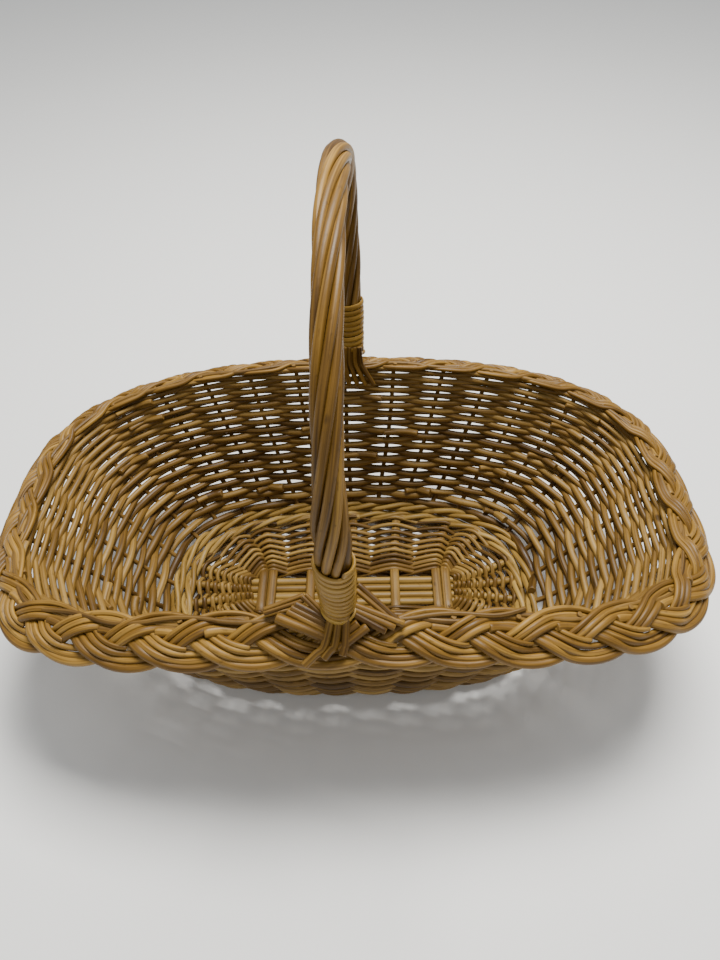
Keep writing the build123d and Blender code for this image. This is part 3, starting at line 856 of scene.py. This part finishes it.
def make_handle():
    """A core stick with seven rods roped round it."""
    core_line, _, _ = bow_line(CORE_FOOT_HEIGHT, 320)
    core = Rods("handle_core_stick", sides=12)
    core.add(core_line, CORE_RADIUS * CORE_SWELL, 0.35)
    core.build(STAKE, ["handle_core"], "handle")

    line, out, far = bow_line(ROD_FOOT_HEIGHT, HANDLE_STEPS)
    # The rods lie tight in the bindings, and swell just above them and at the top.
    ring = ROD_RING + swell(far, *FRONT_SWELL) + swell(far[-1] - far, *BACK_SWELL)
    ring = ring + swell(far / far[-1], *APEX_SWELL)
    ring = ring * np.linspace(1.0, RING_SHRINK, HANDLE_STEPS)
    taper = np.linspace(1.12, 0.94, HANDLE_STEPS)
    for number in range(ROD_COUNT):
        reach = ring + wobble(HANDLE_STEPS, 0.3 * MM, knots=9)
        angle = TAU * number / ROD_COUNT + FIRST_ROD_ANGLE + TAU * far / TWIST_LENGTH
        angle = angle + wobble(HANDLE_STEPS, 0.10, knots=8)
        points = line + out * (reach * np.cos(angle))[:, None]
        points = points + np.outer(reach * np.sin(angle), HANDLE_SIDE)
        radius = ROD_RADIUS * taper * (1 + wobble(HANDLE_STEPS, 0.05, knots=6))
        radius = radius * RANDOM.uniform(0.95, 1.05)
        rods = Rods(f"handle_rod_{number + 1}_roped", sides=16)
        rods.add(points, radius, random_tone(0.5, 0.14), reference=HANDLE_SIDE)
        rods.build(BROWN, [f"handle_rod_{number + 1}"], "handle")


def leg_frame(sign, height):
    """Middle of a leg at a height, with its outward and upward directions."""
    direction = HANDLE_ALONG * sign
    centre = np.array([HANDLE_SHIFT, 0.0, height]) + direction * leg_out(height)
    outward = direction * math.cos(LEG_LEAN) - np.array([0, 0, math.sin(LEG_LEAN)])
    upward = np.array([0, 0, math.cos(LEG_LEAN)]) + direction * math.sin(LEG_LEAN)
    return centre, outward, upward


# --- bindings ---
CANE_STEPS_PER_TURN = 40
CANE_FLATNESS = 0.42  # thickness of the cane, of its width
CANE_ROUNDNESS = 0.93  # of the wound leg, across the basket against along it
WIDENING = 1.3  # above 1, the binding narrows mostly at its low end


def wind(rods, sign, high, low, turns, first_angle, tilt, high_reach, low_reach, half_width, tone):
    """Flat cane wound down a leg from high to low, each turn tilted and a little uneven."""
    steps = round(turns * CANE_STEPS_PER_TURN)
    knots = round(turns) + 2
    share = np.linspace(0, 1, steps)
    height = high + (low - high) * share
    angle = first_angle + TAU * turns * share
    reach = high_reach + (low_reach - high_reach) * share**WIDENING
    reach = reach + wobble(steps, 0.25 * MM, knots)
    slip = wobble(steps, 0.4 * MM, knots)
    centres, points = [], []
    for k in range(steps):
        centre, outward, upward = leg_frame(sign, height[k])
        across = reach[k] * CANE_ROUNDNESS * math.cos(angle[k])
        along = reach[k] * math.sin(angle[k])
        centres.append(centre)
        points.append(
            centre + HANDLE_SIDE * along + outward * across + upward * (slip[k] - tilt * along)
        )
    points = np.array(points)
    radial = points - np.array(centres)
    width = half_width * (1 + wobble(steps, 0.05, knots))
    rods.add(points, width, tone, reference=radial, flat=CANE_FLATNESS)


def make_binding_front():
    """Eleven rows of flat cane at the front foot, the last of them loose and pale."""
    rods = Rods("handle_binding_front_cane", sides=12)
    wind(
        rods, -1, high=213.0 * MM, low=162.0 * MM, turns=10.0, first_angle=0.6, tilt=0.22,
        high_reach=9.9 * MM, low_reach=8.7 * MM, half_width=2.4 * MM, tone=0.6,
    )
    wind(
        rods, -1, high=159.0 * MM, low=157.5 * MM, turns=1.1, first_angle=0.2, tilt=0.26,
        high_reach=8.6 * MM, low_reach=8.9 * MM, half_width=2.3 * MM, tone=0.85,
    )
    rods.build(CANE, ["handle_binding_front"], "binding")


def make_binding_back():
    """Nine narrower rows at the back foot."""
    rods = Rods("handle_binding_back_cane", sides=12)
    wind(
        rods, 1, high=201.0 * MM, low=163.0 * MM, turns=9.2, first_angle=0.6, tilt=-0.12,
        high_reach=8.2 * MM, low_reach=7.9 * MM, half_width=1.95 * MM, tone=0.5,
    )
    rods.build(CANE, ["handle_binding_back"], "binding")


# --- rod ends at the feet of the handle ---
# Rod ends where the plait is joined at the front foot, in groups that lie side by side. For each
# group: how many, their radius, their height above the plait's middle, where the first starts and
# ends (along the border, then across it with outward positive), and how far from it the next
# one starts and ends; all mm.
JOINT_GROUPS = (
    (1, 3.0, 6.6, (-37, -12), (-9, 0), (0, 0), (0, 0)),
    (3, 2.4, 5.8, (-31, -15), (-8, -3), (2, -2), (0, -3)),
    (2, 1.2, 7.0, (-23, -23), (-10, -10), (2, -1), (1, -2)),
    (2, 1.4, 5.7, (-44, -15), (-23, -21), (0, -2), (0, -3)),
    (3, 2.1, 6.4, (0, -20), (32, -8), (0, 2), (-5, 2)),
    (2, 1.7, 6.2, (7, -26), (25, -11), (1, -3), (5, 2)),
    (2, 2.7, 6.4, (12, -6), (-3, 5), (-5, -2), (3, -8)),
)
# The outside tails: each one's place beside the leg, then how far along the border and where
# across it the tail ends, all mm.
FRONT_TAILS = ((-4.2, -21.8, 13.5), (0.0, -11.3, 10.0), (4.2, -1.2, 8.5))
BACK_TAILS = ((-4.2, 1.0, 8.0), (0.0, 6.5, 8.5), (4.2, 11.0, 8.0))
OUTSIDE_LEG_PLACES = ((168.0, 5.0), (157.0, 6.2))  # height, and distance out of the leg, mm
OUTSIDE_HEIGHT = 7.4 * MM  # above the plait's middle
OUTSIDE_START = 0.5  # across the border, mm
OUTSIDE_RADII = (2.45 * MM, 2.35 * MM)
# The inside tails: height, distance in from the leg and spacing under the binding, then their
# distance out of the wall and above the rim further down; all mm.
INSIDE_COUNT = 4
INSIDE_LEG_PLACES = ((168.0, 6.2, 3.4), (155.0, 6.0, 4.0))
INSIDE_WALL_PLACES = ((-7.0, 6.0), (-8.2, 0.0), (-9.4, -6.0))
INSIDE_DRIFT, INSIDE_FAN = 3.0, 2.2  # along the border, of the first and of each one more
INSIDE_RADII = (2.1 * MM, 1.8 * MM)


def plait_point(x, sign, across, above):
    """Point at a place along the border beside a foot, across the plait and above it."""
    y = RIM_HALF_WIDTH + BORDER_OUTSET
    y += across * math.cos(BORDER_TILT) + above * math.sin(BORDER_TILT)
    z = RIM_SIDE_HEIGHT - RIM_DROP * (x / RIM_HALF_LENGTH) ** 2
    z += above * math.cos(BORDER_TILT) - across * math.sin(BORDER_TILT)
    return np.array([x, sign * y, z])


def make_outside_tails(side, sign, tails):
    """Three rod ends that come out under the binding and lie over the border."""
    rods = Rods(f"handle_tails_{side}_outside_rods", sides=14)
    for beside, end_x, end_across in tails:
        route = []
        for height, out in OUTSIDE_LEG_PLACES:
            centre, outward, _ = leg_frame(sign, height * MM)
            route.append(centre + outward * out * MM + HANDLE_SIDE * beside * MM)
        start_x = route[-1][0]
        for share in (0.25, 0.6, 1.0):
            x = start_x + (end_x * MM - start_x) * share
            across = (OUTSIDE_START + (end_across - OUTSIDE_START) * share) * MM
            route.append(plait_point(x, sign, across, OUTSIDE_HEIGHT))
        path = smooth_path(route)
        radius = np.linspace(*OUTSIDE_RADII, len(path))
        rods.add(path, radius, random_tone(0.5, 0.08), reference=(1, 0, 0))
    rods.build(BROWN, [f"handle_tails_{side}_outside"], "handle")


def make_inside_tails(side, sign):
    """Four rod ends that run down inside the wall, fanning one way."""
    rods = Rods(f"handle_tails_{side}_inside_rods", sides=14)
    for rank in range(INSIDE_COUNT):
        route = []
        for height, inside, apart in INSIDE_LEG_PLACES:
            centre, outward, _ = leg_frame(sign, height * MM)
            beside = (rank - (INSIDE_COUNT - 1) / 2) * apart * MM * sign
            route.append(centre - outward * inside * MM + HANDLE_SIDE * beside)
        start_x = route[-1][0]
        end_x = sign * (INSIDE_DRIFT + INSIDE_FAN * rank) * MM
        for step, (out, above_rim) in enumerate(INSIDE_WALL_PLACES, start=1):
            x = start_x + end_x * step / len(INSIDE_WALL_PLACES)
            y = sign * (RIM_HALF_WIDTH + out * MM)
            route.append(np.array([x, y, RIM_SIDE_HEIGHT + above_rim * MM]))
        path = smooth_path(route)
        radius = np.linspace(*INSIDE_RADII, len(path))
        rods.add(path, radius, random_tone(0.45, 0.1), reference=(1, 0, 0))
    rods.build(BROWN, [f"handle_tails_{side}_inside"], "handle")


def make_joint():
    """Spare ends of rods that cross beside and under the front foot of the handle."""
    rods = Rods("border_joint_rods", sides=14)
    shares = np.linspace(0, 1, 12)[:, None]
    for count, radius, above, start, end, start_step, end_step in JOINT_GROUPS:
        for rank in range(count):
            first = np.array(start) + rank * np.array(start_step)
            last = np.array(end) + rank * np.array(end_step)
            places = (first + (last - first) * shares) * MM
            path = [plait_point(x, -1, across, above * MM) for x, across in places]
            taper = np.linspace(1.03, 0.97, len(path))
            rods.add(path, radius * taper * MM, random_tone(0.42, 0.12))
    rods.build(BROWN, slot="border")


# --- camera, light and floor ---
CAMERA_PLACE = (0.0149, -0.3274, 0.4962)
CAMERA_PITCH, CAMERA_YAW, CAMERA_ROLL = 0.8278, -0.0198, -0.0298  # radians
CAMERA_LENS = 27.07  # mm
SENSOR_WIDTH = 36.0  # mm
LIGHT_PLACE = (0.12, 0.30, 1.32)
LIGHT_TARGET = (0.0, 0.0, 0.05)
LIGHT_SIZE = (0.7, 0.5)
LIGHT_POWER = 35.0
LIGHT_COLOUR = (1.0, 0.98, 0.94)
WORLD_COLOUR = (0.96, 0.98, 1.0, 1.0)
WORLD_STRENGTH = 0.54
FLOOR_COLOUR = (0.88, 0.88, 0.86, 1.0)
FLOOR_REACH = 3.0
FLOOR_DROP = 0.2 * MM  # so that the basket's lowest rods clear it


def add_camera():
    """Looks down on the basket from above its front; the sensor's 36 mm is the tall side."""
    forward = Vector((math.sin(CAMERA_YAW), math.cos(CAMERA_YAW), 0.0))
    level = Vector((math.cos(CAMERA_YAW), -math.sin(CAMERA_YAW), 0.0))
    ahead = math.cos(CAMERA_PITCH) * forward - Vector((0.0, 0.0, math.sin(CAMERA_PITCH)))
    top = level.cross(ahead)
    right = math.cos(CAMERA_ROLL) * level + math.sin(CAMERA_ROLL) * top
    up = -math.sin(CAMERA_ROLL) * level + math.cos(CAMERA_ROLL) * top
    camera = bpy.data.objects.new("camera", bpy.data.cameras.new("camera"))
    camera.data.lens = CAMERA_LENS
    camera.data.sensor_width = SENSOR_WIDTH
    turned = Matrix((right, up, -ahead)).transposed().to_4x4()
    camera.matrix_world = Matrix.Translation(CAMERA_PLACE) @ turned
    bpy.context.scene.collection.objects.link(camera)
    bpy.context.scene.camera = camera


def add_light():
    """One soft light above the basket."""
    light = bpy.data.lights.new("overhead", "AREA")
    light.shape = "RECTANGLE"
    light.size, light.size_y = LIGHT_SIZE
    light.energy = LIGHT_POWER
    light.color = LIGHT_COLOUR
    lamp = bpy.data.objects.new("overhead", light)
    lamp.location = LIGHT_PLACE
    away = Vector(LIGHT_PLACE) - Vector(LIGHT_TARGET)
    lamp.rotation_euler = away.to_track_quat("Z", "Y").to_euler()
    bpy.context.scene.collection.objects.link(lamp)


def add_floor():
    """A plain pale floor."""
    corners = [(-1, -1), (1, -1), (1, 1), (-1, 1)]
    verts = [(x * FLOOR_REACH, y * FLOOR_REACH, -FLOOR_DROP) for x, y in corners]
    floor_mesh = bpy.data.meshes.new("floor")
    floor_mesh.from_pydata(verts, [], [(0, 1, 2, 3)])
    floor = bpy.data.objects.new("floor", floor_mesh)
    paper = bpy.data.materials.new("paper")
    paper.use_nodes = True
    shader = paper.node_tree.nodes["Principled BSDF"]
    shader.inputs["Base Color"].default_value = FLOOR_COLOUR
    shader.inputs["Roughness"].default_value = 0.6
    floor_mesh.materials.append(paper)
    bpy.context.scene.collection.objects.link(floor)


def add_world():
    """A white surround that gives soft light from everywhere."""
    world = bpy.data.worlds.new("surround")
    world.use_nodes = True
    background = world.node_tree.nodes["Background"]
    background.inputs["Color"].default_value = WORLD_COLOUR
    background.inputs["Strength"].default_value = WORLD_STRENGTH
    bpy.context.scene.world = world


make_stakes()
make_siding()
make_wale()
make_long_sticks()
make_cross_sticks()
make_base_weave()
make_border()
make_handle()
make_binding_front()
make_binding_back()
make_outside_tails("front", -1, FRONT_TAILS)
make_outside_tails("back", 1, BACK_TAILS)
make_inside_tails("front", -1)
make_inside_tails("back", 1)
make_joint()
add_camera()
add_floor()
add_world()
add_light()
